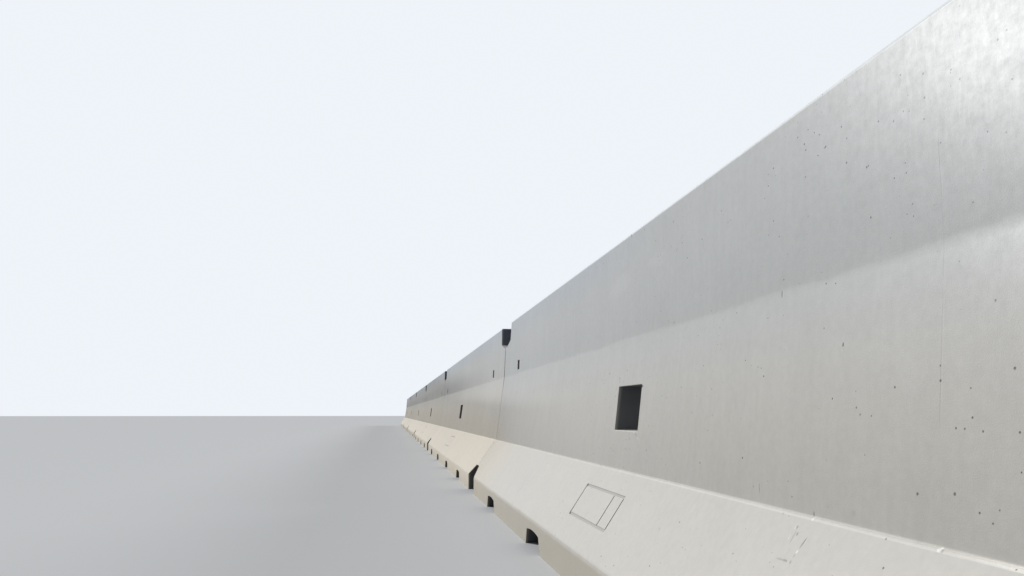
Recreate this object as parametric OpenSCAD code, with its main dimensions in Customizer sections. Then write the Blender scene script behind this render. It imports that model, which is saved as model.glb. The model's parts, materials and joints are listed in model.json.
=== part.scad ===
// A run of precast concrete highway safety barrier elements, joined end to end.
// Each element is one casting with a stepped profile on both faces.
// X runs along the barrier, the road face looks toward -Y and Z is up.
// The origin is at the middle of the run, on the ground. All sizes are in millimetres.

/* [Run] */
// Length of one concrete element
element_len = 6000; // [5000:50:6400]
// Open joint between two elements, at the ground
joint_gap = 4; // [2:0.5:20]
// Amount that an end face leans back from the ground to the top
end_lean = 4; // [1:0.5:10]

/* [Profile] */
// Height of the barrier
wall_h = 1200; // [1130:5:1300]
// Width of the barrier at the ground
base_w = 700; // [680:5:800]
// Height of the vertical curb at the foot
curb_h = 112; // [100:1:130]
// Height that the slope climbs
slope_rise = 250; // [220:1:270]
// Depth that the slope runs in
slope_run = 180; // [150:1:190]
// Width of the narrow ledge along the top of the slope
ledge_w = 6; // [3:0.5:10]
// Width of the ledge's flat part, beside the crease
ledge_flat_w = 1; // [0.5:0.5:2]
// Height of the lower band, from the slope to the fold
lower_band_rise = 448; // [430:1:460]
// Depth that the lower band leans in
lower_band_run = 60; // [40:1:65]
// Depth that the upper band leans in
upper_band_run = 18; // [10:1:25]
// Radius of the edge between the curb and the slope
curb_edge_r = 40; // [20:1:60]
// Radius of the hollow fold between the two bands
fold_r = 300; // [150:10:400]
// Radius of the top edges
top_edge_r = 10; // [5:1:15]
// Chamfer of an end face's edges in the upper band
end_chamfer = 5; // [3:1:10]
// Length below the fold over which that chamfer runs out
chamfer_runout = 110; // [60:5:200]

/* [Window] */
// Width of the window through the wall
window_w = 250; // [150:5:400]
// Height of the window
window_h = 152; // [100:1:160]
// Height of the window's sill above the ground
window_sill = 493; // [480:1:520]

/* [Slots] */
// Width of a slot near an element's end
slot_w = 75; // [40:1:100]
// Height of a slot
slot_h = 60; // [40:1:80]
// Height of a slot's lower edge above the ground
slot_sill = 838; // [825:1:850]
// Distance from an element's end to a slot's middle
slot_inset = 600; // [450:5:800]

/* [Drainage] */
// Width of a drainage opening at the ground
drain_w = 300; // [250:5:340]
// Width of a drainage opening at its top
drain_top_w = 250; // [180:2:280]
// Height of a drainage opening, at its middle
drain_h = 73; // [50:1:90]
// Rise of a drainage opening's arched top
drain_arch = 9; // [2:1:15]
// Distance from an element's middle to an inner drainage opening
drain_inner = 665; // [450:5:900]
// Distance from an element's middle to an outer drainage opening
drain_outer = 1950; // [1600:10:2050]

/* [Top notch] */
// Length of the notch in an element's end, measured at the top
notch_len = 236; // [200:1:260]
// Depth of the notch at its inner end
notch_side = 130; // [120:1:140]
// Depth of the notch at the joint
notch_depth = 168; // [150:1:185]
// Length of the level part of the notch's floor
notch_floor = 75; // [40:1:110]
// Amount that the notch's inner end leans
notch_draft = 22; // [5:1:30]

/* [Foot pocket] */
// Length of the pocket in an element's end
pocket_len = 172; // [160:1:200]
// Height of the pocket at the joint
pocket_h = 182; // [160:1:200]
// Length of the level part of the pocket's roof
pocket_roof = 70; // [40:1:100]
// Depth of the pocket from the foot's edge
pocket_depth = 160; // [150:1:180]

/* [Blank frame] */
// Length of the blank frame engraved in the slope
frame_len = 445; // [300:5:600]
// Height of the blank frame, measured up the slope
frame_h = 126; // [80:2:160]
// Distance from the curb's top to the blank frame, measured up the slope
frame_rise = 100; // [60:2:130]
// Distance from the element's middle to the blank frame's middle
frame_shift = -25; // [-200:5:200]
// Length of the frame's short cell
frame_cell = 95; // [60:5:140]
// Width of the frame's groove
groove_w = 8; // [4:1:12]
// Depth of the frame's groove
groove_d = 4; // [1:0.5:6]

/* [Tie bar] */
// Diameter of the tie bar
bar_d = 30; // [28:1:34]
// Diameter of the threaded ends of the tie bar
thread_d = 27; // [20:1:27]
// Length of a threaded end
thread_len = 175; // [140:1:185]
// Depth of the tie bar's axis below the top
bar_drop = 72; // [60:1:80]
// Distance from an element's end back to the end of its tie bar
bar_setback = 12; // [5:1:25]
// Clearance round the tie bar, in its duct and in its coupler
bar_clear = 0.3; // [0.2:0.05:0.6]
// Width of the coupler across its flats
coupler_af = 50; // [44:1:56]
// Length of the coupler
coupler_len = 170; // [120:5:220]
// Chamfer of the coupler's ends
coupler_chamfer = 5; // [2:0.5:6]
// Diameter of the sight hole in the coupler
sight_d = 10; // [6:1:12]

/* [Splice plate] */
// Length of a splice plate
plate_len = 280; // [250:5:310]
// Height of a splice plate
plate_h = 90; // [60:2:96]
// Thickness of a splice plate
plate_t = 15; // [8:1:20]
// Radius of a splice plate's corners
plate_corner = 12; // [4:1:20]
// Height of a splice plate's middle above the ground
plate_z = 62; // [54:1:66]
// Diameter of a through bolt
bolt_d = 24; // [16:1:27]
// Clearance round a bolt in a splice plate, on each side
bolt_clear = 1; // [0.5:0.25:1.5]
// Clearance round a bolt in the concrete, on each side
duct_clear = 2; // [1.5:0.25:4]
// Distance from the joint's middle to the first bolt
bolt_first = 45; // [40:1:55]
// Distance between the two bolts in one element
bolt_pitch = 65; // [50:1:72]

/* [Hidden] */

$fn = 48;
// A cut runs this far past the face that it opens
over = 10;
// Two cuts that meet at an angle overlap by this much
lap = 2;
element_count = 6;
pitch = element_len + joint_gap;
run_len = element_count * pitch - joint_gap;

// Heights of the profile's two creases
slope_top = curb_h + slope_rise;
fold_z = slope_top + lower_band_rise;

// Half widths of the profile
foot_y = base_w / 2;
slope_y = foot_y - slope_run;
fold_y = slope_y - lower_band_run;
top_y = fold_y - upper_band_run;

bar_z = wall_h - bar_drop;
seat_y = foot_y - pocket_depth;

function element_start(i) = (i - 1) * pitch - run_len / 2;
function joint_x(i) = i * pitch - joint_gap / 2 - run_len / 2;

// Corners of one face of the profile from the ground up, as [half width, height]
curb_foot = [foot_y, 0];
curb_edge = [foot_y, curb_h];
ledge_edge = [slope_y + ledge_w, slope_top];
crease = [slope_y, slope_top];
fold = [fold_y, fold_z];
top_edge = [top_y, wall_h];
top_middle = [0, wall_h];

// The ledge's edge is rounded as far as its flat part
slope_angle = atan2(slope_rise, slope_run - ledge_w);
ledge_edge_r = (ledge_w - ledge_flat_w) / tan(slope_angle / 2);

// Points of an arc of radius r that rounds a corner between the points before and after it
function rounded(before, corner, after, r, steps) =
    let (
        back = (before - corner) / norm(before - corner),
        on = (after - corner) / norm(after - corner),
        half = acos(back * on) / 2,
        turn = 180 - 2 * half,
        middle = corner + (back + on) / norm(back + on) * r / sin(half),
        first = corner + back * r / tan(half) - middle,
        last = corner + on * r / tan(half) - middle
    )
    [for (k = [0:steps])
        middle + (first * sin(turn - turn * k / steps) + last * sin(turn * k / steps)) / sin(turn)];

// One face of the profile with its rounded edges
face_points = concat(
    [curb_foot],
    rounded(curb_foot, curb_edge, ledge_edge, curb_edge_r, 8),
    rounded(curb_edge, ledge_edge, crease, ledge_edge_r, 6),
    [crease],
    rounded(crease, fold, top_edge, fold_r, 5),
    rounded(fold, top_edge, top_middle, top_edge_r, 6)
);

function mirrored(points) = [for (k = [len(points) - 1:-1:0]) [-points[k][0], points[k][1]]];

// Extrudes a drawing in Y and Z along X, from x = 0
module along_x(length) {
    rotate([90, 0, 90])
        linear_extrude(height = length)
            children();
}

// Extrudes a drawing in X and Z along Y, from y = 0 toward -Y
module along_y(length) {
    rotate([90, 0, 0])
        linear_extrude(height = length)
            children();
}

// Cuts a drawing in X and Z right through the wall
module through_wall() {
    translate([0, foot_y + over, 0])
        along_y(base_w + 2 * over)
            children();
}

module both_ends() {
    children();
    translate([element_len, 0, 0])
        mirror([1, 0, 0])
            children();
}

module both_faces() {
    children();
    mirror([0, 1, 0])
        children();
}

// Leans a cut back from an upright end face to the real one
module leaned() {
    rotate([0, atan2(end_lean, wall_h), 0])
        children();
}

// What lies past the end face
module past_end() {
    translate([-2 * over, -foot_y - over, -over])
        cube([2 * over, base_w + 2 * over, wall_h + 2 * over]);
}

// What a chamfer takes off a corner at the origin, between the axes -Y and +X
module chamfer_corner() {
    polygon([[-over, over], [-over, -end_chamfer - over], [end_chamfer + over, over]]);
}

// Level chamfer on the end edge of the top
module top_chamfer() {
    translate([0, top_y + over, wall_h])
        along_y(2 * (top_y + over))
            chamfer_corner();
}

// Chamfer on the end edge of the upper band
module band_chamfer() {
    band_rise = wall_h - fold_z;
    translate([0, fold_y, fold_z])
        rotate([atan2(upper_band_run, band_rise), 0, 0])
            translate([0, 0, -lap])
                linear_extrude(height = band_rise + 2 * lap)
                    chamfer_corner();
}

// The same chamfer in the lower band, where it tilts out of the edge and ends
module chamfer_end() {
    tilt = atan2(end_chamfer / sqrt(2), chamfer_runout);
    translate([0, fold_y, fold_z])
        rotate([atan2(lower_band_run, lower_band_rise), 0, 0])
            translate([end_chamfer, 0, 0])
                rotate(a = tilt, v = [1, 1, 0])
                    translate([-end_chamfer, 0, -chamfer_runout - over])
                        linear_extrude(height = chamfer_runout + over + lap)
                            chamfer_corner();
}

// Notch in the top of an element's end, where the tie bars are coupled
module top_notch() {
    lean = notch_draft * over / notch_side;
    through_wall()
        polygon([
            [-over, wall_h + over],
            [-over, wall_h - notch_depth],
            [notch_floor, wall_h - notch_depth],
            [notch_len - notch_draft, wall_h - notch_side],
            [notch_len + lean, wall_h + over]
        ]);
}

// Pocket in the foot of an element's end, on the face toward +Y
module foot_pocket() {
    translate([0, foot_y + over, 0])
        along_y(pocket_depth + over)
            polygon([
                [-over, -over],
                [pocket_len, -over],
                [pocket_len, curb_h],
                [pocket_roof, pocket_h],
                [-over, pocket_h]
            ]);
}

// Ducts for the two bolts that run through the foot from plate to plate
module bolt_ducts() {
    for (k = [0, 1])
        translate([bolt_first + k * bolt_pitch - joint_gap / 2, 0, plate_z])
            rotate([90, 0, 0])
                cylinder(h = 2 * (seat_y + over), d = bolt_d + 2 * duct_clear, center = true);
}

module window() {
    through_wall()
        translate([element_len / 2 - window_w / 2, window_sill])
            square([window_w, window_h]);
}

module slot() {
    through_wall()
        translate([slot_inset - slot_w / 2, slot_sill])
            square([slot_w, slot_h]);
}

// Drainage opening through the foot, with an arched top, wider at the ground
module drain(from_middle) {
    steps = 5;
    spread = (drain_w - drain_top_w) / 2 * over / (drain_h - drain_arch);
    arch = [for (k = [-steps:steps])
        [drain_top_w / 2 * k / steps, drain_h - drain_arch * pow(k / steps, 2)]];
    translate([element_len / 2 + from_middle, 0, 0])
        through_wall()
            polygon(concat(
                [[-drain_w / 2 - spread, -over]],
                arch,
                [[drain_w / 2 + spread, -over]]
            ));
}

// Grooves of a blank frame with two cells, engraved in the slope of the road face
module blank_frame() {
    divider = frame_len - frame_cell - groove_w;
    translate([element_len / 2 + frame_shift - frame_len / 2, -foot_y, curb_h])
        rotate([slope_angle, 0, 0])
            translate([0, frame_rise, -groove_d])
                linear_extrude(height = groove_d + over)
                    difference() {
                        square([frame_len, frame_h]);
                        translate([groove_w, groove_w])
                            square([divider - groove_w, frame_h - 2 * groove_w]);
                        translate([divider + groove_w, groove_w])
                            square([frame_cell - groove_w, frame_h - 2 * groove_w]);
                    }
}

// Duct that the tie bar lies in, from one notch to the other
module bar_duct() {
    translate([-over, 0, bar_z])
        rotate([0, 90, 0])
            cylinder(h = element_len + 2 * over, d = bar_d + 2 * bar_clear);
}

module element(i) {
    color("gainsboro")
        translate([element_start(i), 0, 0])
            difference() {
                along_x(element_len)
                    polygon(concat(face_points, mirrored(face_points)));
                both_ends() {
                    leaned() {
                        past_end();
                        top_chamfer();
                        both_faces() {
                            band_chamfer();
                            chamfer_end();
                        }
                    }
                    top_notch();
                    both_faces()
                        foot_pocket();
                    bolt_ducts();
                    slot();
                }
                for (side = [-1, 1], distance = [drain_inner, drain_outer])
                    drain(side * distance);
                window();
                blank_frame();
                bar_duct();
            }
}

// Bar with a narrower threaded length at each end
module tie_bar(i) {
    color("dimgray")
        translate([element_start(i) + bar_setback, 0, bar_z])
            rotate([0, 90, 0]) {
                cylinder(h = element_len - 2 * bar_setback, d = thread_d);
                translate([0, 0, thread_len])
                    cylinder(h = element_len - 2 * bar_setback - 2 * thread_len, d = bar_d);
            }
}

// Long hexagonal nut that joins two tie bars, with chamfered ends and a sight hole on top
module bar_coupler(i) {
    corner_r = coupler_af / 2 / cos(30);
    color("gray")
        translate([joint_x(i), 0, bar_z])
            difference() {
                rotate([0, 90, 0])
                    intersection() {
                        rotate([0, 0, 30])
                            cylinder(h = coupler_len, r = corner_r, center = true, $fn = 6);
                        rotate_extrude()
                            polygon([
                                [0, -coupler_len / 2],
                                [corner_r - coupler_chamfer, -coupler_len / 2],
                                [corner_r, coupler_chamfer / 2 - coupler_len / 2],
                                [corner_r, coupler_len / 2 - coupler_chamfer / 2],
                                [corner_r - coupler_chamfer, coupler_len / 2],
                                [0, coupler_len / 2]
                            ]);
                    }
                rotate([0, 90, 0])
                    cylinder(h = coupler_len + 2 * over, d = thread_d + 2 * bar_clear, center = true);
                cylinder(h = corner_r + over, d = sight_d);
            }
}

// Outline of the splice plate, with its rounded corners
module plate_outline() {
    square([plate_len - 2 * plate_corner, plate_h], center = true);
    square([plate_len, plate_h - 2 * plate_corner], center = true);
    for (x = [-1, 1], z = [-1, 1])
        translate([x * (plate_len / 2 - plate_corner), z * (plate_h / 2 - plate_corner)])
            circle(r = plate_corner);
}

// Steel plate in the foot pockets of one joint, on the face toward side * Y
module splice_plate(i, side) {
    color("silver")
        translate([joint_x(i), side * (seat_y + plate_t / 2) + plate_t / 2, plate_z])
            along_y(plate_t)
                difference() {
                    plate_outline();
                    for (x = [-1, 1], k = [0, 1])
                        translate([x * (bolt_first + k * bolt_pitch), 0])
                            circle(d = bolt_d + 2 * bolt_clear);
                }
}

element(1);  // element_1
element(2);  // element_2
element(3);  // element_3
element(4);  // element_4
element(5);  // element_5
element(6);  // element_6
tie_bar(1);  // tie_bar_1
tie_bar(2);  // tie_bar_2
tie_bar(3);  // tie_bar_3
tie_bar(4);  // tie_bar_4
tie_bar(5);  // tie_bar_5
tie_bar(6);  // tie_bar_6
bar_coupler(1);  // bar_coupler_1
bar_coupler(2);  // bar_coupler_2
bar_coupler(3);  // bar_coupler_3
bar_coupler(4);  // bar_coupler_4
bar_coupler(5);  // bar_coupler_5
splice_plate(1, -1);  // front_splice_plate_1
splice_plate(2, -1);  // front_splice_plate_2
splice_plate(3, -1);  // front_splice_plate_3
splice_plate(4, -1);  // front_splice_plate_4
splice_plate(5, -1);  // front_splice_plate_5
splice_plate(1, 1);  // back_splice_plate_1
splice_plate(2, 1);  // back_splice_plate_2
splice_plate(3, 1);  // back_splice_plate_3
splice_plate(4, 1);  // back_splice_plate_4
splice_plate(5, 1);  // back_splice_plate_5
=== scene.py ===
# %% [markdown]
# A run of precast concrete safety barrier. Six castings stand end to end, tied along the top by
# threaded bars and bolted together at the foot through steel plates. The construction is finished
# when this script starts. What is left to do here is what a mould, a crane and some years outdoors
# do to concrete: softened and chipped arrises, pinholes, streaks and dirt, and beside them the
# threads, the bolts, the dull steel, the light and the camera. Some light and shade is also painted
# into the concrete's colour: painted shade in its hollows and painted highlights on its edges.

# %% Load the imported model as a fixed frame
import json
import math
import random

import bmesh
import bpy
from mathutils import Matrix, Vector, noise


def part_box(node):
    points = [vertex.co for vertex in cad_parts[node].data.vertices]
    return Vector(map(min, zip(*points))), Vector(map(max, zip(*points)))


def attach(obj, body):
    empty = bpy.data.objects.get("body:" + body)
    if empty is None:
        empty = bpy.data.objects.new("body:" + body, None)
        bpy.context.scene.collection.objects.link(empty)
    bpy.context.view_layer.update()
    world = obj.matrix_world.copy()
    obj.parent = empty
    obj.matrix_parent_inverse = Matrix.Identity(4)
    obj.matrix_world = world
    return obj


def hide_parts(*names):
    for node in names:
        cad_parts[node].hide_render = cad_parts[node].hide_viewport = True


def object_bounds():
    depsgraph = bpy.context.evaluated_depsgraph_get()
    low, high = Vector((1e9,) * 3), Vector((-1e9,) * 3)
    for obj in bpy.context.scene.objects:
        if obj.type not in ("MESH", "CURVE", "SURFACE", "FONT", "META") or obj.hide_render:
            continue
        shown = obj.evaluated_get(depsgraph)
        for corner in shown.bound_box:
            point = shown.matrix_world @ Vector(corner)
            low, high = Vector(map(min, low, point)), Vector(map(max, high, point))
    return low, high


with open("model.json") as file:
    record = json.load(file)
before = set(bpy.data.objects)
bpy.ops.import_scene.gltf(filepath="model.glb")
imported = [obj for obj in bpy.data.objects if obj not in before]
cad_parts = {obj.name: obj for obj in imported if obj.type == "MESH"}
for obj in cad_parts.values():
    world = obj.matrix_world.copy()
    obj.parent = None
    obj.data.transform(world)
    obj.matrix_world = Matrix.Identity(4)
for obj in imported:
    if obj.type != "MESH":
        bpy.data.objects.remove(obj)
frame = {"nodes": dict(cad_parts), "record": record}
cad_low, cad_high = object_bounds()
print("the run measures", [round(side, 3) for side in cad_high - cad_low], "m")

# %% [markdown]
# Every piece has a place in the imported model, so the script never types a place that it can ask
# for. The joints between castings are halfway between two neighbouring boxes. The profile's
# creases can't be read from a box, so they are the few real sizes that this script repeats.

# %% Places that come from the frame
element_count = sum(name.startswith("element_") for name in frame["nodes"])
element_boxes = [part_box(f"element_{i}") for i in range(1, element_count + 1)]
joints = [(left[1].x + right[0].x) / 2 for left, right in zip(element_boxes, element_boxes[1:])]
nearest_joint = joints[-1]
element_length = element_boxes[0][1].x - element_boxes[0][0].x
run_half = cad_high.x
wall_top = cad_high.z
foot_half = cad_high.y
print("joints at", [round(joint, 3) for joint in joints])

# %% The profile's creases, in metres up from the ground, and how far each stretch leans in
curb_top = 0.112
slope_top = 0.362
fold_height = 0.810
slope_run = 0.174
ledge_width = 0.006
lower_lean = 0.060
upper_lean = 0.018
print("the creases are at", curb_top, slope_top, "and", fold_height, "m")

# %% The windows, from the openings that the record states a little inside their walls
opening_margin = 0.005
openings = {opening["name"]: opening["box_m"] for opening in frame["record"]["physics"]["openings"]}
window_boxes = [openings[f"window_{i}"] for i in range(1, element_count + 1)]
window_places = [(low[0] + high[0]) / 2 for low, high in window_boxes]
window_half = (window_boxes[0][1][0] - window_boxes[0][0][0]) / 2 + opening_margin
window_sill = window_boxes[0][0][2] - opening_margin
print("windows at", [round(place, 3) for place in window_places], "sill", round(window_sill, 3))


# %% [markdown]
# The photograph is taken from about knee height, close to the front face, looking along the run.
# Its long edges meet at one point, and that point gives the direction of the view. The distance
# follows from the curb, the creases and the top, whose heights are known. A camera is an object
# that looks along its own -Z, so the view direction is turned into a rotation by to_track_quat.

# %% A direction: degrees from the run's far end towards the front, and degrees above level
def direction(azimuth, elevation):
    turned = math.radians(azimuth)
    raised = math.radians(elevation)
    level = math.cos(raised)
    return Vector((-level * math.cos(turned), -level * math.sin(turned), math.sin(raised)))


# %% A new object in the scene
def add_to_scene(name, data):
    made = bpy.data.objects.new(name, data)
    bpy.context.scene.collection.objects.link(made)
    return made


# %% The camera, placed from the nearest joint
camera_past_joint = 5.4945
camera_in_front = 0.950
camera_height = 0.5506
gaze = direction(-9.282, 9.506)
camera_data = bpy.data.cameras.new("camera")
camera_data.lens = 26.32
camera_data.sensor_width = 36.0
camera_data.clip_start = 0.05
camera_data.clip_end = 400.0
camera = add_to_scene("camera", camera_data)
camera.location = (nearest_joint + camera_past_joint, -camera_in_front, camera_height)
camera.rotation_euler = gaze.to_track_quat("-Z", "Y").to_euler()
bpy.context.scene.camera = camera
bpy.context.scene.view_settings.view_transform = "Standard"
print("the camera looks along", [round(part, 3) for part in gaze])


# %% [markdown]
# A material is a graph of nodes, and a pattern soon needs dozens of them. Sums and products read
# better as Python, so one small class stands for a socket: adding or multiplying two of them adds
# the Math node that does it. Everything else comes from one method that takes a node's type, its
# settings and what goes into its sockets. The sky is a graph too, so that method has a class of
# its own, and a finish adds to it the patterns that the concrete and the steel share.

# %% Sockets with arithmetic
class Value:
    def __init__(self, graph, socket):
        self.graph = graph
        self.socket = socket

    def out(self, name):
        return Value(self.graph, self.socket.node.outputs[name])

    def math(self, operation, first, second=0.0):
        return self.graph.node("Math", {"operation": operation}, {0: first, 1: second})

    def larger(self, other):
        return self.math("MAXIMUM", self, other)

    def __add__(self, other):
        return self.math("ADD", self, other)

    def __sub__(self, other):
        return self.math("SUBTRACT", self, other)

    def __rsub__(self, other):
        return self.math("SUBTRACT", other, self)

    def __mul__(self, other):
        return self.math("MULTIPLY", self, other)

    def __pow__(self, other):
        return self.math("POWER", self, other)

    def __gt__(self, other):
        return self.math("GREATER_THAN", self, other)

    def __abs__(self):
        return self.math("ABSOLUTE", self)

    __radd__ = __add__
    __rmul__ = __mul__


# %% A graph of nodes, emptied first, and whether a ray comes from the camera, a mirror or glass
class Graph:
    def __init__(self, tree):
        self.tree = tree
        self.tree.nodes.clear()

    def node(self, kind, settings=None, sockets=None):
        made = self.tree.nodes.new("ShaderNode" + kind)
        for name, setting in (settings or {}).items():
            if name == "stops":
                self.set_stops(made.color_ramp, setting)
            else:
                setattr(made, name, setting)
        for name, given in (sockets or {}).items():
            if isinstance(given, Value):
                self.tree.links.new(given.socket, made.inputs[name])
            else:
                made.inputs[name].default_value = given
        return Value(self, made.outputs[0]) if made.outputs else None

    def set_stops(self, ramp, stops):
        while len(ramp.elements) < len(stops):
            ramp.elements.new(1.0)
        for element, (position, colour) in zip(ramp.elements, stops):
            element.position = position
            element.color = (*colour, 1.0)

    def seen(self):
        rays = self.node("LightPath").out("Is Camera Ray")
        return rays.larger(rays.out("Is Glossy Ray")).larger(rays.out("Is Transmission Ray"))


# %% A finish, and the patterns that finishes share
class Finish(Graph):
    def __init__(self, name):
        self.material = bpy.data.materials.new(name)
        self.material.use_nodes = True
        super().__init__(self.material.node_tree)
        self.place = self.node("TexCoord").out("Object")
        self.x = self.node("SeparateXYZ", {}, {0: self.place}).out("X")
        self.y = self.x.out("Y")
        self.z = self.x.out("Z")

    def stretched(self, x, y, z, shift):
        return self.node("Mapping", {}, {"Vector": self.place, "Location": shift, "Scale": (x, y, z)})

    def clouds(self, scale, detail=3.0, rough=0.55, vector=None):
        return self.node("TexNoise", {}, {
            "Vector": vector or self.place, "Scale": scale, "Detail": detail, "Roughness": rough})

    def cells(self, scale, vector=None):
        return self.node("TexVoronoi", {}, {"Vector": vector or self.place, "Scale": scale})

    def rise(self, value, low, high):
        return self.node("MapRange", {"interpolation_type": "SMOOTHSTEP"}, {
            "Value": value, "From Min": low, "From Max": high})

    def ramp(self, value, low, high):
        return self.node("MapRange", {}, {"Value": value, "From Min": low, "From Max": high})

    def mix(self, mask, first, second):
        return self.node("Mix", {"data_type": "RGBA"}, {0: mask, 6: first, 7: second}).out(2)

    def scaled(self, colour, amount):
        return self.node("VectorMath", {"operation": "SCALE"}, {0: colour, "Scale": amount})

    def surface(self, colour, roughness, height, more):
        bump = self.node("Bump", {}, {"Strength": 1.0, "Distance": 1.0, "Height": height})
        sockets = {"Base Color": colour, "Roughness": roughness, "Normal": bump, **more}
        shader = self.node("BsdfPrincipled", {}, sockets)
        self.node("OutputMaterial", {}, {"Surface": shader})
        return self.material


# %% [markdown]
# The lamps are plain. One sun stands ahead of the camera and to its left, in front of the run, high
# enough to fall full on the lower slope. A weaker one keeps the back from going black. The floor
# and the sky show pale to the camera, to mirrors and through glass, but they light the concrete
# only a little: that keeps the windows and pockets as deep as they look in the sun.

# %% The suns
def sun(name, azimuth, elevation, strength, spread):
    lamp = bpy.data.lights.new(name, "SUN")
    lamp.energy = strength
    lamp.angle = math.radians(spread)
    to_light = direction(azimuth, elevation)
    add_to_scene(name, lamp).rotation_euler = to_light.to_track_quat("Z", "Y").to_euler()


sun("key", azimuth=44.4, elevation=27.1, strength=2.7, spread=5.0)
sun("back_fill", azimuth=-60.0, elevation=30.0, strength=0.9, spread=20.0)
print("two suns, the key from the front")

# %% The sky, pale where it is seen and dimmer where it lights
sky_colour = (0.86, 0.90, 0.95, 1.0)
sky_light = 0.22
sky_seen = 1.0
world = bpy.data.worlds.new("sky")
world.use_nodes = True
bpy.context.scene.world = world
sky = Graph(world.node_tree)
strength = sky.node("MapRange", {}, {"Value": sky.seen(), "To Min": sky_light, "To Max": sky_seen})
background = sky.node("Background", {}, {"Color": sky_colour, "Strength": strength})
sky.node("OutputWorld", {}, {"Surface": background})
print("the sky lights at", sky_light, "and shows at", sky_seen)


# %% A mesh object from a bmesh, with its materials
def mesh_object(name, shape, materials):
    mesh = bpy.data.meshes.new(name)
    shape.to_mesh(mesh)
    shape.free()
    for material in materials:
        mesh.materials.append(material)
    return add_to_scene(name, mesh)


# %% The floor, which tells the same rays apart
floor_half = 150.0
floor_light = (0.22, 0.22, 0.22, 1.0)
floor_seen = (0.72, 0.73, 0.74, 1.0)
floor_finish = Finish("floor")
floor_colour = floor_finish.mix(floor_finish.seen(), floor_light, floor_seen)
floor_shader = floor_finish.node("BsdfDiffuse", {}, {"Color": floor_colour})
floor_finish.node("OutputMaterial", {}, {"Surface": floor_shader})
floor_shape = bmesh.new()
bmesh.ops.create_grid(floor_shape, x_segments=1, y_segments=1, size=floor_half)
floor = mesh_object("floor", floor_shape, [floor_finish.material])
print("floor laid")


# %% [markdown]
# Cast concrete is one grey paste with small events in it. Broad clouds come from how the wet mix
# dried, thin upright streaks from the form oil and from rain, pinholes from air caught against the
# mould, and faint upright lines from the mould's own panels. The foot is warmer and the top is
# cooler. Each of these is one short function of place, in metres, so that a pinhole is
# as wide as a real one wherever the pattern falls. In each function, skin is the finish that the
# pattern is added to, and skin.rise(skin.z, low, high) is 0 at the first height and 1 at the second.

# %% How deep a point lies behind the front or the back face
def depth_behind_face(skin):
    above_ledge = skin.z > slope_top + 0.001
    face = (foot_half
            - skin.ramp(skin.z, curb_top, slope_top) * slope_run
            - above_ledge * ledge_width
            - skin.ramp(skin.z, slope_top, fold_height) * lower_lean
            - skin.ramp(skin.z, fold_height, wall_top) * upper_lean)
    return face - abs(skin.y)


# %% Pinholes: holes of one size, kept in some of the cells of a pattern
def pinholes(skin, spacing, radius, share, shift):
    cells = skin.cells(1.0 / spacing, skin.stretched(1.0, 1.0, 1.0, shift))
    chance = skin.node("SeparateColor", {}, {0: cells.out("Color")})
    kept = skin.rise(chance - share, 0.02, -0.02)
    size = radius * (0.6 + chance.out("Green") * 0.8)
    rim = radius * 0.4
    return skin.rise(cells * spacing - size, rim, -rim) * kept


def all_pinholes(skin):
    grouped = skin.rise(skin.clouds(3.5, 3.0, 0.6), 0.40, 0.62)
    small = pinholes(skin, spacing=0.016, radius=0.0013, share=grouped * 0.60, shift=(0.0, 0.0, 0.0))
    large = pinholes(skin, spacing=0.034, radius=0.0019, share=0.50, shift=(3.1, 5.7, 1.9))
    return small.larger(large)


# %% Streaks, and the lines between the mould's panels, at shares of a casting's length
seam_shares = (0.17, 0.49, 0.748, 0.90)
seam_edge = 0.0024
seam_core = 0.0006


def streaks(skin, width, shift, length=1.4):
    upright = skin.stretched(1.0 / width, 1.0 / width, 1.0 / length, shift)
    return skin.clouds(1.0, 3.0, 0.6, upright) - 0.5


def mould_lines(skin, start):
    lines = 0.0
    for share in seam_shares:
        place = start + element_length * share
        lines = lines + skin.rise(abs(skin.x - place), seam_edge, seam_core)
    return lines * skin.rise(skin.clouds(5.0, 2.0, 0.5), 0.50, 0.62)


# %% The place of the front face at a height
def share_between(z, low, high):
    return min(max((z - low) / (high - low), 0.0), 1.0)


def face_y(z):
    fallen_back = share_between(z, curb_top, slope_top) * slope_run
    fallen_back += share_between(z, slope_top, fold_height) * lower_lean
    fallen_back += share_between(z, fold_height, wall_top) * upper_lean
    return fallen_back - foot_half


# %% A mark: a thin ball laid on the front face, from one place to another, fading at its rim
mark_reach = 0.08
mark_rim = 0.6


def mark(skin, first, last, width):
    run = last[0] - first[0]
    climb = last[1] - first[1]
    middle_x = (first[0] + last[0]) / 2
    middle_z = (first[1] + last[1]) / 2
    laid = skin.node("Mapping", {"vector_type": "TEXTURE"}, {
        "Vector": skin.place,
        "Location": (middle_x, face_y(middle_z), middle_z),
        "Rotation": (0.0, -math.atan2(climb, run), 0.0),
        "Scale": (math.hypot(run, climb) / 2 + width, mark_reach, width)})
    ball = skin.node("TexGradient", {"gradient_type": "SPHERICAL"}, {0: laid}).out("Fac")
    return skin.rise(ball, 0.0, mark_rim)


def all_marks(skin, marks):
    marked = 0.0
    for first, last, width, change in marks:
        marked = marked + mark(skin, first, last, width) * change
    return (0.40 + skin.clouds(240.0, 3.0, 0.7) * 1.2) * marked
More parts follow.
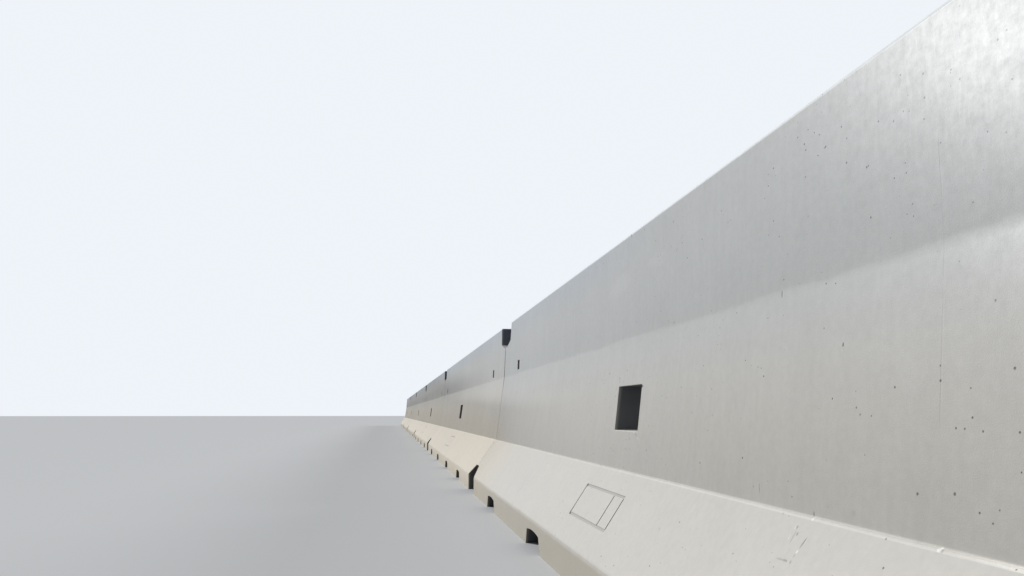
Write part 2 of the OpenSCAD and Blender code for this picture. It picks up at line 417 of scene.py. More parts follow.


# %% The tone at each height, on a clean face and where dirt and painted shade are full
# On a clean face the slope is painted lighter than the faces above it, painted light of a face turned up to
# the sun, and a thin painted highlight runs along the ledge just under the crease. Below the fold the face
# lightens upwards, and just above the fold it is darker.
clean_tones = (
    (0.104, 1.08), (0.122, 1.18), (0.358, 1.16), (0.3608, 1.27), (0.3628, 1.27), (0.3645, 0.89),
    (0.45, 0.92), (0.66, 1.04), (0.809, 1.06), (0.816, 0.96), (1.0, 1.01))
# Where the mask is full the faces are darker: partly dirt, and on the far castings' band above the fold a
# painted shade that stands in for how those faces look at a glancing angle.
dirt_and_shade_tones = (
    (0.03, 1.14), (0.090, 1.27), (0.104, 1.26), (0.122, 0.98), (0.360, 0.95), (0.366, 0.80),
    (0.66, 0.74), (0.809, 0.71), (0.816, 0.60), (0.92, 0.60), (1.0, 0.65), (1.2, 0.72))
brightest_tone = 1.40


def tone_by_height(skin, height, tones):
    stops = [(place / wall_top, (tone / brightest_tone,) * 3) for place, tone in tones]
    return skin.node("ValToRGB", {"stops": stops}, {0: height * (1.0 / wall_top)}) * brightest_tone


# %% A mask of dirt and painted shade: it starts low on the nearest casting and reaches the top a whole casting further on
darkening_begins = 0.1
darkening_full = -5.6
begins_lower = 2.6
full_lower = 5.3
top_lag = 4.2


def dirt_and_far_shade(skin):
    behind = skin.x + skin.rise(skin.z, 0.85, 1.20) * top_lag
    low = skin.rise(skin.z, 0.76, 0.56)
    begins = nearest_joint + darkening_begins + low * begins_lower
    full = nearest_joint + darkening_full + low * full_lower
    return skin.rise(behind, begins, full)


# %% Beside the nearest joint both castings are painted to one tone, painted light and shade that evens out the nearest casting's stronger sheen, and the near end is a little paler
def along_run(skin, begins, full):
    return skin.rise(skin.x, nearest_joint + begins, nearest_joint + full)


def evened(skin):
    before_joint = along_run(skin, -2.5, 0.0)
    past_joint = along_run(skin, 0.9, 0.0)
    near_end = along_run(skin, 2.2, 4.2)
    return before_joint * 0.055 - past_joint * 0.06 + near_end * 0.035


# %% [markdown]
# The colour is made in two steps, as a painter would: first the hue of the paste, then how light
# it is. The castings differ a little. The nearest one is the cleanest, and the others have
# yellowed, so each has a number for its tone and one for its warmth, from the far end to the near.

# %% The colours of the concrete, of its painted shade and painted sky light, and how light and how warm each casting is
paste_cool = (0.500, 0.510, 0.508, 1.0)
paste_warm = (0.560, 0.538, 0.492, 1.0)
paste_cream = (0.572, 0.528, 0.458, 1.0)
painted_sky_blue = (0.472, 0.508, 0.550, 1.0)
pinhole_shade_and_seam_dark = (0.100, 0.100, 0.105, 1.0)
foot_tint = (0.500, 0.448, 0.345, 1.0)
painted_shade_blue = (0.105, 0.135, 0.195, 1.0)
tones = (1.18, 1.16, 1.19, 1.17, 1.18, 0.93)
warmths = (1.0, 1.0, 1.0, 1.0, 0.4, 0.0)
yellowing = [float(warmth > 0.0) for warmth in warmths]
print(len(tones), "castings,", int(sum(yellowing)), "of them yellowed")


# %% The hue: cool above, warm low down, creamy with age and dirt, and the top painted bluer, painted sky light
def creamy(skin, warmth, dirt_and_shade):
    aged = skin.rise(skin.z, 0.58, 0.37) * (1.4 * warmth) + 0.8 * warmth ** 2
    soiled = dirt_and_shade ** 3.0 * (0.35 + skin.rise(skin.z, 0.60, 0.40) * 0.65) * (1.6 - 1.6 * warmth)
    on_wall = skin.rise(skin.z, slope_top, slope_top + 0.01)
    return aged + soiled - along_run(skin, -1.6, -0.4) * on_wall * 0.5


def paste_hue(skin, warmth, yellowed, dirt_and_shade):
    low_down = skin.rise(skin.z, 0.88, 0.50)
    warm = low_down * 0.92 + skin.rise(skin.z, 1.02, 0.82) * (0.25 * yellowed)
    colour = skin.mix(warm, paste_cool, paste_warm)
    cream = (0.25 + low_down * 0.65) * creamy(skin, warmth, dirt_and_shade)
    colour = skin.mix(cream, colour, paste_cream)
    # Painted sky light: the top of the wall is painted bluer, except at the near end
    painted_sky_share = skin.rise(skin.z, 1.04, 1.18) * along_run(skin, 3.6, 2.0)
    return skin.mix(painted_sky_share * 0.8, colour, painted_sky_blue)


# %% Painted highlights: the top arris, the ledge just below its crease and the window's sill are painted paler where light catches them
highlight_half = 0.0045
ledge_drop = 0.0012


def along_ledge(skin, core):
    return skin.rise(abs(skin.z - slope_top + ledge_drop), highlight_half, core)


def painted_edge_highlights(skin, window):
    arris = skin.rise(skin.z, wall_top - 0.013, wall_top - 0.006)
    arris = arris * skin.rise(skin.z, wall_top, wall_top - 0.002)
    sill = skin.rise(abs(skin.z - window_sill), highlight_half, 0.0015)
    sill = sill * skin.rise(abs(skin.x - window), window_half + 0.003, window_half)
    return (arris * (0.45 + skin.clouds(18.0, 3.0, 0.7) * 0.6)
            + along_ledge(skin, 0.0020) * (0.03 + skin.clouds(28.0, 3.0, 0.7) * 0.12)
            + sill * skin.clouds(70.0, 3.0, 0.7) * 0.5)


# %% How light the paste is: height, dirt and painted shade first, then clouds of three sizes and the streaks
fold_waviness = 0.034


def paste_tone(skin, tone, yellowed, dirt_and_shade):
    dappled = skin.clouds(7.0, 3.0, 0.6) - 0.5
    wavy = skin.z + dappled * skin.rise(skin.z, 0.50, 0.70) * fold_waviness
    dulled = 1.0 + (tone_by_height(skin, wavy, dirt_and_shade_tones) - 1.0) * dirt_and_shade
    # Where dirt takes the coat's sheen off the nearest casting, the paste is painted lighter instead:
    # painted light in place of the lost sheen
    painted_lost_sheen = dirt_and_shade ** 4.0 * (0.08 - 0.08 * yellowed)
    light = tone_by_height(skin, wavy, clean_tones) * dulled * (evened(skin) + painted_lost_sheen + tone)
    light = light + (skin.clouds(0.9, 4.0, 0.6) - 0.5) * 0.12
    light = light + dappled * 0.08
    light = light + (skin.clouds(60.0, 3.0, 0.65) - 0.5) * 0.15
    light = light + streaks(skin, width=0.02, shift=(0.0, 0.0, 0.0)) * 0.10
    return light + streaks(skin, width=0.18, shift=(7.3, 0.0, 0.0)) * 0.07


# %% [markdown]
# Outdoors, the insides of windows, notches, pockets and drains lie in full shade, and studio light
# reaches into them. So the material darkens and cools what lies behind the two faces, as painted
# shade, apart from floors and from walls that face the sun. Grooves and the joint between two
# castings are found in the same way, by depth, and painted darker. Above the fold the joint is a dark
# gap, and below it the joint's faces are painted lighter, painted light over their shade, so it hardly
# shows.

# %% Depths behind the face at which a groove, a joint and an opening begin, and where they are full
groove_depth = (0.0008, 0.0030)
joint_depth = (0.0002, 0.0015)
inside_depth = (0.003, 0.016)
end_reach = 0.012
run_end_reach = 0.014
run_end_skin = 0.010

# %% How much light each of them takes, and how much painted light the joint's faces get back below the fold
groove_shade = 0.22
joint_shade = 0.90
inside_shade = 0.62
painted_joint_light = 1.70


# %% What counts as in shade: not the top, the run's end faces, a floor or a wall that faces the sun
def hollows(skin):
    below_top = skin.rise(skin.z, wall_top - 0.001, wall_top - 0.004)
    facing = skin.node("SeparateXYZ", {}, {0: skin.place.out("Normal")})
    facing_up = skin.rise(facing.out("Z"), 0.70, 0.88)
    facing_sun = skin.rise(facing.out("X"), -0.60, -0.90)
    off_ends = skin.rise(abs(skin.x), run_half - run_end_skin, run_half - run_end_reach)
    return below_top * off_ends * (1.0 - facing_up.larger(facing_sun))


# %% The share of a point that is inside an opening, and how much light it is left with
def shade(skin, ends):
    depth = depth_behind_face(skin)
    hollow = hollows(skin)
    inside = skin.rise(depth, *inside_depth) * hollow
    off_ledge = skin.rise(abs(skin.z - slope_top - 0.003), 0.006, 0.010)
    grooved = skin.rise(depth, *groove_depth) * hollow * off_ledge
    at_first = skin.rise(skin.x, ends[0] + end_reach, ends[0] + end_reach / 2)
    at_last = skin.rise(skin.x, ends[1] - end_reach, ends[1] - end_reach / 2)
    at_joint = (at_first + at_last) * skin.rise(depth, *joint_depth) * hollow
    # Painted light: below the fold the joint's shaded faces are lightened so the joint hardly shows
    joint_painted_light = skin.rise(skin.z, 0.78, 0.60)
    lit = (1.0 - grooved * groove_shade) * (1.0 - at_joint * (joint_shade - joint_painted_light * painted_joint_light))
    return inside, lit * (1.0 - inside * inside_shade)


# %% [markdown]
# A smooth mould leaves new concrete with a faint shine, which weather and dirt take away. A clear
# coat over the paste gives it. The coat's weight may vary over the face, as flecks do, but its
# roughness is one number for the whole surface, set on the shader's own socket.

# %% The mould's sheen, in flecks, gone under dirt and brighter on the ledge's rubbed near end
worn_gloss = 0.10
fresh_gloss = 0.25
fresh_sheen = 0.30
sheen_roughness = 0.324


def mould_sheen(skin, dirt_and_shade, strength):
    flecks = streaks(skin, width=0.008, shift=(2.1, 0.0, 0.0), length=0.045)
    rubbed = along_ledge(skin, 0.0022) * along_run(skin, 2.6, 4.3)
    polished = 0.50 + skin.clouds(55.0, 3.0, 0.7) + flecks * 0.5 + rubbed * 2.4
    return polished * (1.0 - dirt_and_shade ** 4.0) * strength


# %% The foot tinted warmer and darker, with a ragged upper edge
def foot_tinted(skin, yellowed):
    ragged = skin.z + (skin.clouds(5.0, 4.0, 0.65) - 0.5) * 0.03
    return skin.rise(ragged, curb_top + 0.008, curb_top - 0.012) * (0.55 - 0.22 * yellowed)


# %% The small relief, as heights and depths in metres
grain_height = 0.00045
ripple_height = 0.0007
hole_depth = 0.0007
seam_depth = 0.00025
mark_height = 0.0012


def relief(skin, holes, lines, marked):
    grain = skin.clouds(420.0, 3.0, 0.7) * grain_height
    ripple = skin.clouds(9.0, 2.0, 0.5) * ripple_height
    return grain + ripple - holes * hole_depth - lines * seam_depth + marked * mark_height


# %% The finish of one casting
def concrete(index, ends, marks):
    skin = Finish(f"concrete_{index}")
    fresh = index == element_count
    yellowed = yellowing[index - 1]
    holes = all_pinholes(skin)
    lines = mould_lines(skin, ends[0])
    marked = all_marks(skin, marks)
    inside, lit = shade(skin, ends)
    dirt_and_shade = dirt_and_far_shade(skin)
    colour = paste_hue(skin, warmths[index - 1], yellowed, dirt_and_shade)
    light = paste_tone(skin, tones[index - 1], yellowed, dirt_and_shade)
    # Painted highlights on the top arris, the ledge and the window's sill
    colour = skin.scaled(colour, light + painted_edge_highlights(skin, window_places[index - 1]))
    colour = skin.mix(foot_tinted(skin, yellowed), colour, foot_tint)
    # The lit share paints shade into grooves and the joint, and the marks paint the shade and lit sides of
    # small gouges, nicks and ridges
    colour = skin.scaled(colour, lit + marked)
    # Painted shade: the insides of windows, notches, pockets and drains are darkened and cooled
    colour = skin.mix(inside * 0.38, colour, painted_shade_blue)
    # The mould lines are darkened a little, and the pinholes are painted dark, painted shade inside each
    # hole
    colour = skin.mix(lines * 0.07, colour, pinhole_shade_and_seam_dark)
    colour = skin.mix(holes * 0.80, colour, pinhole_shade_and_seam_dark)
    rough = 0.72 + skin.clouds(35.0, 2.0, 0.6) * 0.12 + holes * 0.1
    return skin.surface(colour, rough, relief(skin, holes, lines, marked), {
        "Coat Weight": mould_sheen(skin, dirt_and_shade, fresh_sheen if fresh else 0.0),
        "Coat Roughness": sheen_roughness,
        "Specular IOR Level": fresh_gloss if fresh else worn_gloss})


# %% [markdown]
# Where an arris has broken off, the paste's skin is gone and the stones in it show: it is paler,
# coarser and more varied than the face beside it.

# %% The finish of a broken place
stone_dark = (0.40, 0.385, 0.35, 1.0)
stone_pale = (0.70, 0.685, 0.65, 1.0)


def broken_concrete():
    skin = Finish("broken_concrete")
    stones = skin.cells(95.0)
    shade_of_stone = skin.node("SeparateColor", {}, {0: stones.out("Color")})
    colour = skin.mix(shade_of_stone, stone_dark, stone_pale)
    colour = skin.scaled(colour, 0.85 + skin.clouds(220.0) * 0.3)
    height = skin.clouds(160.0, 4.0, 0.7) * 0.0022 - stones * 0.0012
    return skin.surface(colour, 0.85 + shade_of_stone * 0.08, height, {"Specular IOR Level": 0.35})


broken = broken_concrete()
print("broken places have a finish of their own")


# %% [markdown]
# A casting could be dressed with bump alone, but its outline would stay razor sharp. So a copy of
# each CAD casting is merged and cleaned of the flat triangles, its long arrises are bevelled by
# the two or three millimetres that a mould's fillet leaves, and small rough lumps are cut out of
# it where arrises get knocked. The cut faces take the second material, for broken concrete.

# %% A merged copy of a node, with its flat triangles dissolved
same_place = 0.00001
flat_angle = math.radians(0.2)


def merged_copy(node):
    shape = bmesh.new()
    shape.from_mesh(node.data)
    bmesh.ops.remove_doubles(shape, verts=shape.verts, dist=same_place)
    bmesh.ops.dissolve_limit(shape, angle_limit=flat_angle, verts=shape.verts, edges=shape.edges)
    return shape


# %% The arrises worth softening: convex, sharp, long, off the ground and off the chamfered ends
soft_edge = 0.0025
shortest_arris = 0.012
sharp_angle = math.radians(30.0)
chamfered_end = 0.014


def is_arris(edge, low_x, high_x):
    if not edge.is_convex or edge.calc_length() < shortest_arris:
        return False
    if edge.calc_face_angle(0.0) < sharp_angle:
        return False
    middle = (edge.verts[0].co + edge.verts[1].co) / 2
    if middle.z < 0.001:
        return False
    return low_x + chamfered_end < middle.x < high_x - chamfered_end


def soften(shape, arrises):
    bmesh.ops.bevel(shape, geom=arrises, offset=soft_edge, offset_type="OFFSET", segments=2,
                    profile=0.5, affect="EDGES", material=-1, clamp_overlap=False)


# %% A rough lump, the cutter of one chip, with its width and its lift as shares of its depth
lump_width = 1.3
lump_lift = 0.35
lump_roughness = 0.45


def add_lump(cutter, place, along, outward, length, depth):
    before = set(cutter.verts)
    bmesh.ops.create_icosphere(cutter, subdivisions=2, radius=1.0)
    lump = [vert for vert in cutter.verts if vert not in before]
    for vert in lump:
        vert.co *= 1.0 + lump_roughness * noise.noise(vert.co * 1.7 + place * 31.0)
    side = along.cross(outward).normalized()
    facing = Matrix((along, side, outward)).transposed()
    size = Matrix.Diagonal((length / 2, depth * lump_width, depth))
    bmesh.ops.transform(cutter, matrix=(facing @ size).to_4x4(), verts=lump)
    bmesh.ops.translate(cutter, vec=place + outward * depth * lump_lift, verts=lump)


# %% Chips scattered along arrises, more of them small than large
chips_per_metre = 2.2
smallest_chip = 0.0022
chip_range = 0.010


def scatter_chips(cutter, arrises, chance):
    total = sum(edge.calc_length() for edge in arrises)
    for _ in range(int(total * chips_per_metre)):
        edge = chance.choices(arrises, [each.calc_length() for each in arrises])[0]
        first, last = edge.verts[0].co, edge.verts[1].co
        place = first.lerp(last, chance.uniform(0.03, 0.97))
        outward = (edge.link_faces[0].normal + edge.link_faces[1].normal).normalized()
        depth = smallest_chip + chip_range * chance.random() ** 3
        length = depth * chance.uniform(2.0, 5.0)
        add_lump(cutter, place, (last - first).normalized(), outward, length, depth)


# %% The chips are cut by a boolean, whose result becomes the piece's own mesh
def apply_modifiers(piece):
    state = bpy.context.evaluated_depsgraph_get()
    finished = bpy.data.meshes.new_from_object(piece.evaluated_get(state), depsgraph=state)
    piece.modifiers.clear()
    piece.data = finished


def cut_chips(piece, cutter_shape, materials):
    for face in cutter_shape.faces:
        face.material_index = 1
    cutter = mesh_object("chip_cutter", cutter_shape, materials)
    cut = piece.modifiers.new("chips", "BOOLEAN")
    cut.operation = "DIFFERENCE"
    cut.solver = "EXACT"
    cut.use_self = True
    cut.object = cutter
    apply_modifiers(piece)
    bpy.data.objects.remove(cutter)


# %% Smooth shading that leaves the broad faces flat
smooth_up_to = math.radians(28.0)
broad_face_weight = 90


def smooth_rounds(piece):
    for face in piece.data.polygons:
        face.use_smooth = True
    piece.data.set_sharp_from_angle(angle=smooth_up_to)
    weigh = piece.modifiers.new("flat faces stay flat", "WEIGHTED_NORMAL")
    weigh.keep_sharp = True
    weigh.weight = broad_face_weight
    apply_modifiers(piece)


# %% [markdown]
# Chance gives each casting its small chips, but the nearest one has wear that can be pointed at: a
# scuff on the slope, where something scraped past, ticks and pale patches on the faces, and a few
# crumbled places on the ledge and at the window. Each mark is a short stroke from one place to
# another, measured along the casting and up from the ground, with its half width and how much it
# lightens or darkens the face. Much of that is painted light: painted shade in small gouges and
# nicks, painted highlights on their lit edges and on a raised seam, and a painted highlight along
# the ledge's near end in place of its sheen.

# %% The scuff on the slope, with painted shade in its gouges and painted highlights on their lit edges
scuff_marks = (
    ((4.1490, 0.3380), (4.1505, 0.3100), 0.0024, -0.24), ((4.1380, 0.3250), (4.1390, 0.3190), 0.0030, 0.14),
    ((4.1400, 0.3405), (4.1408, 0.3380), 0.0030, 0.14),
    ((4.1465, 0.3418), (4.1471, 0.3403), 0.0034, -0.36), ((4.1570, 0.3318), (4.1582, 0.3294), 0.0034, -0.36),
    ((4.1919, 0.3295), (4.1875, 0.3110), 0.0032, -0.42), ((4.1955, 0.3270), (4.1912, 0.3120), 0.0024, 0.08),
    ((4.1855, 0.3052), (4.1850, 0.3036), 0.0036, 0.42), ((4.1842, 0.3005), (4.1825, 0.2950), 0.0026, -0.20),
    ((4.1560, 0.2857), (4.1705, 0.2865), 0.0024, -0.34), ((4.1320, 0.2850), (4.1600, 0.2859), 0.0020, -0.22),
    ((4.1815, 0.2872), (4.1828, 0.2860), 0.0036, -0.30), ((4.2623, 0.3288), (4.2630, 0.3280), 0.0022, -0.20))

# %% The ledge: a nick with painted shade in it and a painted highlight below it, and a painted highlight along the near end
ledge_marks = (
    ((4.1697, 0.3700), (4.1714, 0.3640), 0.0028, -0.50), ((4.1780, 0.3598), (4.1800, 0.3590), 0.0036, 0.36),
    ((4.0754, 0.3575), (4.0790, 0.3560), 0.0040, -0.14), ((4.4995, 0.3610), (4.5020, 0.3598), 0.0042, 0.40),
    ((4.5075, 0.3600), (4.5085, 0.3590), 0.0026, -0.26), ((4.5100, 0.3605), (4.8800, 0.3605), 0.0042, 0.26),
    ((4.2890, 0.3840), (4.2910, 0.3835), 0.0070, -0.08))

# %% Round the window: painted shade in a nick at its upper corner, painted shade and highlights on crumbs at its lower one, a tick above it
window_marks = (
    ((3.1200, 0.6388), (3.1360, 0.6372), 0.0055, -0.90), ((2.7340, 0.6992), (2.7460, 0.6983), 0.0055, -0.24),
    ((2.8734, 0.6782), (2.8814, 0.6553), 0.0055, -0.20), ((3.1050, 0.4858), (3.1200, 0.4790), 0.0050, -0.24),
    ((3.0850, 0.4880), (3.1000, 0.4865), 0.0040, 0.20), ((3.1320, 0.4722), (3.1440, 0.4705), 0.0050, 0.22),
    ((3.0480, 0.4680), (3.0620, 0.4665), 0.0050, -0.14))

# %% The faces: ticks by the fold and the crease, a knock with painted shade in it, a raised seam with a painted highlight and a painted shadow beside it, and two pale patches
face_marks = (
    ((3.9593, 0.3812), (3.9559, 0.4050), 0.0026, -0.32), ((4.0005, 0.7965), (3.9998, 0.8155), 0.0028, -0.60),
    ((4.2355, 0.6775), (4.2352, 0.6720), 0.0026, -0.80), ((4.2325, 0.6660), (4.2345, 0.6620), 0.0022, 0.10),
    ((4.5400, 1.0701), (4.5337, 0.9884), 0.0034, 0.11), ((4.5470, 1.0680), (4.5410, 0.9900), 0.0050, -0.06),
    ((3.3620, 0.8198), (3.3700, 0.8193), 0.0045, -0.24), ((3.3780, 1.0330), (3.3930, 1.0440), 0.0040, -0.18),
    ((2.9360, 1.1985), (2.9420, 1.1870), 0.0080, -0.40),
    ((2.7000, 1.0130), (2.9400, 1.0350), 0.0500, 0.05), ((3.1300, 1.0480), (3.2900, 1.0350), 0.0340, 0.05))

# %% All the marks, moved from the casting's own start to its place in the run
marks_along = scuff_marks + ledge_marks + window_marks + face_marks


def marks_from(start):
    moved = []
    for (first_x, first_z), (last_x, last_z), width, change in marks_along:
        moved.append(((start + first_x, first_z), (start + last_x, last_z), width, change))
    return moved


print(len(marks_along), "marks on the nearest casting")

# %% The crumbs: place, direction along, direction outwards, length and depth
slope_out = Vector((0.0, curb_top - slope_top, slope_run)).normalized()
band_out = Vector((0.0, slope_top - fold_height, lower_lean)).normalized()
up_band = Vector((0.0, lower_lean, fold_height - slope_top)).normalized()
lengthwise = Vector((1.0, 0.0, 0.0))
crumbs = (
    (4.1867, -0.2171, 0.3029, lengthwise, slope_out, 0.008, 0.0030),
    (4.1699, -0.1760, 0.3620, lengthwise, slope_out, 0.010, 0.0035),
    (4.5034, -0.1760, 0.3620, lengthwise, slope_out, 0.008, 0.0030),
    (3.1270, -0.1330, 0.6440, lengthwise, band_out, 0.014, 0.0060),
    (3.1250, -0.1490, 0.5250, up_band, band_out, 0.030, 0.0040),
    (2.9100, -0.1330, 0.6450, lengthwise, band_out, 0.012, 0.0030))


def add_crumbs(cutter, start):
    for along, y, z, direction_along, outward, length, depth in crumbs:
        add_lump(cutter, Vector((start + along, y, z)), direction_along, outward, length, depth)


# %% The castings, each from its CAD node to the finished piece
def casting(index):
    name = f"element_{index}"
    low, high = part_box(name)
    nearest = index == element_count
    marks = marks_from(low.x) if nearest else []
    materials = [concrete(index, (low.x, high.x), marks), broken]
    shape = merged_copy(frame["nodes"][name])
    arrises = [edge for edge in shape.edges if is_arris(edge, low.x, high.x)]
    cutter_shape = bmesh.new()
    scatter_chips(cutter_shape, arrises, random.Random(index))
    if nearest:
        add_crumbs(cutter_shape, low.x)
    soften(shape, arrises)
    piece = mesh_object(f"casting_{index}", shape, materials)
    cut_chips(piece, cutter_shape, materials)
    smooth_rounds(piece)
    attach(piece, "root")
    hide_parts(name)
    print(piece.name, len(arrises), "arrises,", len(piece.data.polygons), "faces")


for index in range(1, element_count + 1):
    casting(index)


# %% [markdown]
# Steel outdoors is never bright. Rolled bar keeps a dark skin with rust in its hollows, and
# galvanised plate dulls to a grey with the faint crystals of the zinc still in it. Both are
# metals with a rough surface, and rust is where the metal turns to paint: not metallic, rougher.

# %% Steel finishes: the shades between two greys, the size of a crystal and the share of rust
rust_dark = (0.16, 0.065, 0.03, 1.0)
rust_pale = (0.30, 0.15, 0.075, 1.0)
blue_tint = 1.02


def steel(name, bright, dark, crystal, rust_share):
    skin = Finish(name)
    cells = skin.cells(1.0 / crystal)
    shade_of_cell = skin.node("SeparateColor", {}, {0: cells.out("Color")})
    dark_steel = (dark, dark, dark * blue_tint, 1.0)
    bright_steel = (bright, bright, bright * blue_tint, 1.0)
    colour = skin.mix(shade_of_cell, dark_steel, bright_steel)
    rust = skin.rise(skin.clouds(30.0, 5.0, 0.7), 0.78 - rust_share, 0.84 - rust_share)
    colour = skin.mix(rust, colour, skin.mix(skin.clouds(140.0), rust_dark, rust_pale))
    height = skin.clouds(300.0, 3.0, 0.7) * (0.00015 + rust * 0.0006)
    rough = 0.42 + shade_of_cell * 0.12 + rust * 0.36
    return skin.surface(colour, rough, height, {"Metallic": 0.85 - rust * 0.85})


bar_steel = steel("bar_steel", bright=0.30, dark=0.24, crystal=0.004, rust_share=0.28)
coupler_steel = steel("coupler_steel", bright=0.38, dark=0.30, crystal=0.006, rust_share=0.14)
plate_steel = steel("plate_steel", bright=0.50, dark=0.40, crystal=0.011, rust_share=0.08)
print("three steels")


# %% The couplers and the splice plates keep their CAD shape and take their steel
def give_steel(node, material):
    node.data.materials.clear()
    node.data.materials.append(material)


for name, node in frame["nodes"].items():
    if name.startswith("bar_coupler"):
        give_steel(node, coupler_steel)
    if "splice_plate" in name:
        give_steel(node, plate_steel)
print("couplers and plates finished")


# %% [markdown]
# The tie bars' threads are coarse, as on ties for concrete. A thread is a zigzag line spun once
# round the bar while it moves on by one pitch: each turn's end then meets the next turn's start,
# and merging the seam closes the screw. The ragged first and last turns are cut off square.

# %% One turn of the thread, as shares of the pitch with the radius there, and how near points merge
thread_pitch = 0.006
thread_root = 0.0122
thread_crest = 0.0135
thread_turn = ((0.0, thread_root), (0.15, thread_root), (0.45, thread_crest), (0.70, thread_crest))
turn_steps = 32
spare_turns = 2
seam_gap = 0.00002
cut_gap = 0.00005


# %% Cutting a shape off, closing it and adding it to another
def close_holes(shape):
    bmesh.ops.holes_fill(shape, edges=[edge for edge in shape.edges if edge.is_boundary], sides=0)


def cut_off(shape, place, outward):
    geometry = shape.verts[:] + shape.edges[:] + shape.faces[:]
    bmesh.ops.bisect_plane(shape, geom=geometry, plane_co=place, plane_no=outward, clear_outer=True)


def join_into(shape, part):
    mesh = bpy.data.meshes.new("part")
    part.to_mesh(mesh)
    part.free()
    shape.from_mesh(mesh)
    bpy.data.meshes.remove(mesh)


# %% A threaded length along X, from start to end
def add_thread(shape, start, end, axis_z):
    screw = bmesh.new()
    turns = int((end - start) / thread_pitch) + 2 * spare_turns
    first = start - spare_turns * thread_pitch
    line = []
    for turn in range(turns):
        for part, radius in thread_turn:
            line.append(screw.verts.new((first + (turn + part) * thread_pitch, 0.0, radius)))
    edges = [screw.edges.new(pair) for pair in zip(line, line[1:])]
    step = Vector((thread_pitch / turn_steps, 0.0, 0.0))
    bmesh.ops.spin(screw, geom=line + edges, cent=(0.0, 0.0, 0.0), axis=(1.0, 0.0, 0.0), dvec=step,
                   angle=math.tau, steps=turn_steps, use_merge=False)
    bmesh.ops.remove_doubles(screw, verts=screw.verts, dist=seam_gap)
    cut_off(screw, Vector((start, 0.0, 0.0)), Vector((-1.0, 0.0, 0.0)))
    cut_off(screw, Vector((end, 0.0, 0.0)), Vector((1.0, 0.0, 0.0)))
    bmesh.ops.remove_doubles(screw, verts=screw.verts, dist=cut_gap)
    close_holes(screw)
    bmesh.ops.recalc_face_normals(screw, faces=screw.faces)
    bmesh.ops.translate(screw, vec=(0.0, 0.0, axis_z), verts=screw.verts)
    join_into(shape, screw)


# %% A tie bar: a plain shank with a thread at each end
thread_length = 0.175
round_steps = 32


def tie_bar(index):
    name = f"tie_bar_{index}"
    low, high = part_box(name)
    axis_z = (low.z + high.z) / 2
    radius = (high.z - low.z) / 2
    shape = bmesh.new()
    shank = high.x - low.x - 2 * thread_length
    middle = Matrix.Translation(((low.x + high.x) / 2, 0.0, axis_z))
    bmesh.ops.create_cone(shape, cap_ends=True, segments=round_steps, radius1=radius, radius2=radius,
                          depth=shank, matrix=middle @ Matrix.Rotation(math.pi / 2, 4, "Y"))
    add_thread(shape, low.x, low.x + thread_length, axis_z)
    add_thread(shape, high.x - thread_length, high.x, axis_z)
    piece = mesh_object(f"threaded_bar_{index}", shape, [bar_steel])
    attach(piece, "root")
    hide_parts(name)
    return piece


for index in range(1, element_count + 1):
    bar = tie_bar(index)
print("tie bars,", len(bar.data.polygons), "faces each")


# %% [markdown]
# Four bolts run through the foot at each joint, from the front plate to the back one. A hexagon
# bolt's head is turned as a disc with a chamfered rim and then milled flat on six sides, so it is
# made that way: a revolved disc, a little wider than the hexagon's corners, cut by six planes. The
# arcs on the flats come by themselves. The disc starts half a step round, so that none of its
# upright edges falls on a corner.

# %% The sizes of a bolt, its washers and its nut
bolt_radius = 0.012
flats = 0.036
washer_radius = 0.022
washer_thick = 0.004
head_thick = 0.015
nut_thick = 0.0215
bolt_end = 0.011
print("bolts of", 2 * bolt_radius, "m, their heads", flats, "m across the flats")


# %% A hexagonal head or nut, standing at a height
chamfer = 0.0034
past_corners = 1.01
face_share = 0.95
head_steps = 48


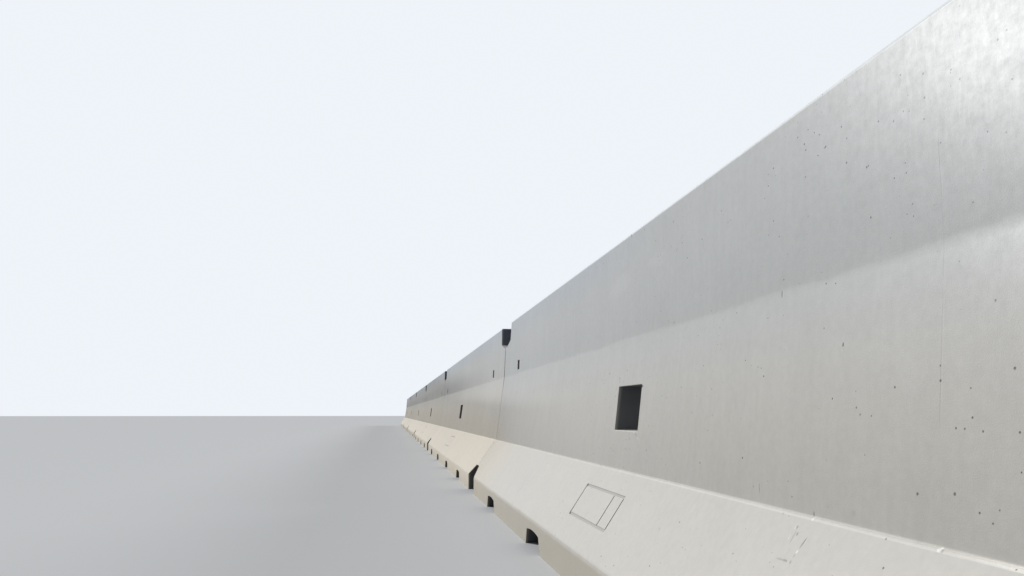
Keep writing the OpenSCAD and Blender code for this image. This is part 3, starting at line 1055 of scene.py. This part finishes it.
def add_hexagon(shape, thick, base):
    head = bmesh.new()
    rim = flats / 2 / math.cos(math.pi / 6) * past_corners
    face = flats / 2 * face_share
    line = [(0.0, 0.0), (rim, 0.0), (rim, thick - chamfer), (face, thick), (0.0, thick)]
    half_step = math.pi / head_steps
    ahead = math.cos(half_step)
    aside = math.sin(half_step)
    verts = [head.verts.new((radius * ahead, radius * aside, height)) for radius, height in line]
    edges = [head.edges.new(pair) for pair in zip(verts, verts[1:])]
    bmesh.ops.spin(head, geom=verts + edges, cent=(0.0, 0.0, 0.0), axis=(0.0, 0.0, 1.0),
                   angle=math.tau, steps=head_steps, use_merge=True)
    bmesh.ops.remove_doubles(head, verts=head.verts, dist=same_place)
    for side in range(6):
        outward = Vector((math.cos(side * math.pi / 3), math.sin(side * math.pi / 3), 0.0))
        cut_off(head, outward * flats / 2, outward)
        close_holes(head)
    bmesh.ops.recalc_face_normals(head, faces=head.faces)
    bmesh.ops.translate(head, vec=(0.0, 0.0, base), verts=head.verts)
    join_into(shape, head)


# %% A bolt along Z through both plates, whose outer faces are at plus and minus its reach
def add_round(shape, radius, low, high):
    middle = Matrix.Translation((0.0, 0.0, (low + high) / 2))
    bmesh.ops.create_cone(shape, cap_ends=True, segments=round_steps, radius1=radius, radius2=radius,
                          depth=high - low, matrix=middle)


def bolt(reach):
    shape = bmesh.new()
    add_round(shape, washer_radius, reach, reach + washer_thick)
    add_hexagon(shape, head_thick, reach + washer_thick)
    add_round(shape, bolt_radius, -reach - washer_thick - nut_thick - bolt_end, reach + washer_thick)
    add_round(shape, washer_radius, -reach - washer_thick, -reach)
    add_hexagon(shape, nut_thick, -reach - washer_thick - nut_thick)
    return shape


# %% Four bolts at each joint, turned a little against each other
bolt_steps = (-0.110, -0.045, 0.045, 0.110)
turning = random.Random(7)


def joint_bolts(index, place):
    low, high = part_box(f"front_splice_plate_{index}")
    axis_z = (low.z + high.z) / 2
    shape = bmesh.new()
    for step in bolt_steps:
        single = bolt(-low.y)
        turned = Matrix.Rotation(turning.uniform(0.0, math.tau), 4, "Z")
        facing = Matrix.Rotation(math.pi / 2, 4, "X") @ turned
        at = Matrix.Translation((place + step, 0.0, axis_z))
        bmesh.ops.transform(single, matrix=at @ facing, verts=single.verts)
        join_into(shape, single)
    piece = mesh_object(f"through_bolts_{index}", shape, [coupler_steel])
    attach(piece, "root")
    return piece


for index, place in enumerate(joints, start=1):
    bolts = joint_bolts(index, place)
print("bolts at", len(joints), "joints,", len(bolts.data.polygons), "faces each")
